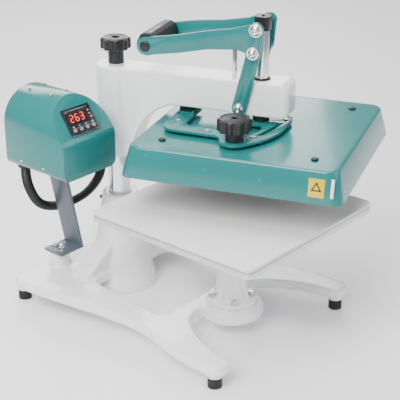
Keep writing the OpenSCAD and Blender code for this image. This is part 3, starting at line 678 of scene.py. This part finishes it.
# --- Press shaft and its head -------------------------------------------------
# The ground shaft slides in the arm. A black block is pinned to its top, and the cross
# pin in it carries the handle.
fit(milled("press_shaft", "press_bar", 0.0010), chrome, "chromed_steel", "press_head",
    "press_shaft")
fit(milled("shaft_head", "shaft_block", 0.0018, 3), black_plastic, "black_plastic", "press_head",
    "shaft_head")
fit(milled("head_pin", "cross_pin", 0.0008), black_steel, "dark_steel", "press_head", "head_pin")
fit(milled("shaft_collar", "lock_collars", 0.0010), black_steel, "dark_steel", "press_head",
    "shaft_collar")

# --- Carrier, clamp knob and guide --------------------------------------------
# A laser-cut plate on four spacers hangs the heater from the shaft. A star knob clamps
# it through its left lobe, and a bracket on its rear strip meets the arm.
fit(milled("carrier_plate", "carrier", 0.0008), teal_paint, "teal_enamel", "press_head",
    "carrier_plate")
fit(milled("carrier_spacers", "spacer_set", 0.0005), zinc, "zinc_steel", "press_head",
    "carrier_spacers")
fit(milled("guide_bracket", "guide_tab", 0.0005), teal_paint, "teal_enamel", "press_head",
    "guide_bracket")
fit(milled("guide_pad", "guide_buffer", 0.0006), rubber, "black_rubber", "press_head", "guide_pad")
fit(cast("clamp_knob", "clamp_star_knob", 0.0009, 4), black_plastic, "black_plastic",
    "clamp_knob", "clamp_knob")
fit(milled("clamp_stud", "clamp_screw", 0.0005), zinc, "zinc_steel", "press_head", "clamp_stud")

# --- Heater cover -------------------------------------------------------------
# A deep-drawn sheet steel pan over the heated platen: its sides lean in, its corners are
# round and its top edge is small. Glossy teal, with a capped screw near each corner.
cover_w, cover_l, cover_low, cover_high = 0.414, 0.420, 0.329, 0.387
corner_r, top_edge_r, sheet, draft = 0.022, 0.004, 0.002, 0.0135
bpy.ops.object.select_all(action="DESELECT")
bpy.ops.mesh.primitive_cube_add(size=1)
cover = bpy.context.object


def choose_edges(piece, test):
    """Selects the edges whose two ends pass a test, and nothing else."""
    mesh = piece.data
    for group in (mesh.vertices, mesh.edges, mesh.polygons):
        for item in group:
            item.select = False
    for edge in mesh.edges:
        a, b = (mesh.vertices[i].co for i in edge.vertices)
        edge.select = test(a, b)


reach, near = 0.300, 0.0001
edit(cover,
     lambda: bpy.ops.mesh.select_all(action="SELECT"),
     lambda: bpy.ops.transform.resize(value=(cover_w, cover_l, cover_high - cover_low)))
bpy.context.scene.tool_settings.mesh_select_mode = (False, True, False)
choose_edges(cover, lambda a, b: min(a.z, b.z) > 0)
edit(cover, lambda: bpy.ops.transform.resize(
    value=(1 - 2 * draft / cover_w, 1 - 2 * draft / cover_l, 1), center_override=(0, 0, 0)))
cover.data.transform(Matrix.Translation((0, -reach, (cover_high + cover_low) / 2)))
choose_edges(cover, lambda a, b: abs(a.z - b.z) > 0.03)
edit(cover, lambda: bpy.ops.mesh.bevel(offset=corner_r, segments=12, affect="EDGES"))
choose_edges(cover, lambda a, b: min(a.z, b.z) > cover_high - near)
edit(cover, lambda: bpy.ops.mesh.bevel(offset=top_edge_r, segments=5, affect="EDGES"))
bpy.context.scene.tool_settings.mesh_select_mode = (False, False, True)
for face in cover.data.polygons:
    face.select = all(cover.data.vertices[i].co.z < cover_low + near for i in face.vertices)
edit(cover, lambda: bpy.ops.mesh.delete(type="FACE"))
modify(cover, "SOLIDIFY", thickness=sheet, offset=-1.0)
modify(cover, "BEVEL", width=0.0006, segments=2, limit_method="ANGLE",
       angle_limit=math.radians(50))
only(cover)
bpy.ops.object.shade_smooth_by_angle(angle=math.radians(30))
cover.data.transform(arm_matrix)
cover.name = "heater_cover"
fit(cover, teal_paint, "teal_enamel", "press_head", "heat_cover")
fit(milled("cover_screw_caps", "cover_caps", 0.0014, 3), black_plastic, "black_plastic",
    "press_head", "cover_screw_caps")

# --- Stickers on the cover ----------------------------------------------------
# A plain yellow vinyl sticker with an empty triangle, and a narrow white strip, both
# without any print that names the maker.


def sticker(name, y, z, width, height, outwards, corners=4):
    """A thin vinyl patch on the cover's left side, in millimetres from the arm's axis."""
    square = corners == 4
    radius, turn = (math.sqrt(0.5), math.pi / 4) if square else (0.58, 0)
    size = (width / 1000, height / 1000, patch_thickness)
    bpy.ops.object.select_all(action="DESELECT")
    bpy.ops.mesh.primitive_cylinder_add(vertices=corners, radius=radius, depth=1,
                                        rotation=(0, 0, turn))
    patch = bpy.context.object
    patch.name = name
    only(patch)
    bpy.ops.object.transform_apply(location=True, rotation=True, scale=True)
    edit(patch,
         lambda: bpy.ops.mesh.select_all(action="SELECT"),
         lambda: bpy.ops.transform.resize(value=size, center_override=(0, 0, 0)),
         lambda: bpy.ops.mesh.bevel(offset=0.0001, segments=1))
    wall_x = (z / 1000 - cover_low) * draft / (cover_high - cover_low) - cover_w / 2
    lean = math.atan2(draft, cover_high - cover_low) - math.pi / 2
    patch.data.transform(arm_matrix @ Matrix.Translation((wall_x, y / 1000, z / 1000))
                         @ Matrix.Rotation(lean, 4, "Y")
                         @ Matrix.Rotation(math.radians(-90), 4, "Z")
                         @ Matrix.Translation((0, 0, outwards / 1000)))
    return patch


def vinyl(name, colour):
    """Printed film: smooth, with hardly any grain."""
    return moulded(name, colour, 0.34, 1800.0, 0.00001)


patch_thickness = 0.0003
label_y, label_z = -462.5, 357
yellow = (0.66, 0.46, 0.0)
fit(sticker("yellow_sticker", label_y, label_z, 29, 33, 0.1), vinyl("yellow_vinyl", yellow),
    "key_grey", "press_head")
fit(sticker("sticker_triangle", label_y, label_z, 20, 20, 0.25, 3),
    vinyl("black_vinyl", (0.02, 0.02, 0.02)), "key_grey", "press_head")
fit(sticker("sticker_centre", label_y, label_z, 11, 11, 0.40, 3),
    vinyl("yellow_vinyl_centre", yellow), "key_grey", "press_head")
fit(sticker("white_strip", -491, 359, 6, 34, 0.1), vinyl("white_vinyl", (0.75, 0.75, 0.75)),
    "key_grey", "press_head")

# --- Heated platen ------------------------------------------------------------
# A cast aluminium plate with the element cast in, ground flat and coated grey below. A
# mineral fibre board over it keeps the heat from the cover.
heater_coat = Finish("non_stick_coat", (0.20, 0.20, 0.205), 0.34, 0.6)
baked = heater_coat.noise(18.0, 6.0).above(0.4, 0.7) * 0.5
heater_coat.set("Base Color", heater_coat.mix(baked, (0.22, 0.22, 0.225, 1), (0.15, 0.14, 0.13, 1)))
heater_coat.set("Normal", heater_coat.bump(heater_coat.noise(900.0, 3.0), 0.00003, 0.6))
fit(milled("heated_platen", "heater_plate", 0.0012), heater_coat, "cast_aluminium", "press_head",
    "heated_platen")
fibre = Finish("mineral_fibre", (0.62, 0.58, 0.48), 0.9)
pale_fibre, dark_fibre = (0.70, 0.66, 0.55, 1), (0.48, 0.44, 0.36, 1)
fibre.set("Base Color", fibre.mix(fibre.noise(300.0, 6.0), pale_fibre, dark_fibre))
fibre.set("Normal", fibre.bump(fibre.noise(700.0, 6.0), 0.0004, 0.8))
fit(milled("insulation_board", "insulation_mat", 0.0015), fibre, "fibre_board", "press_head",
    "insulation_board")
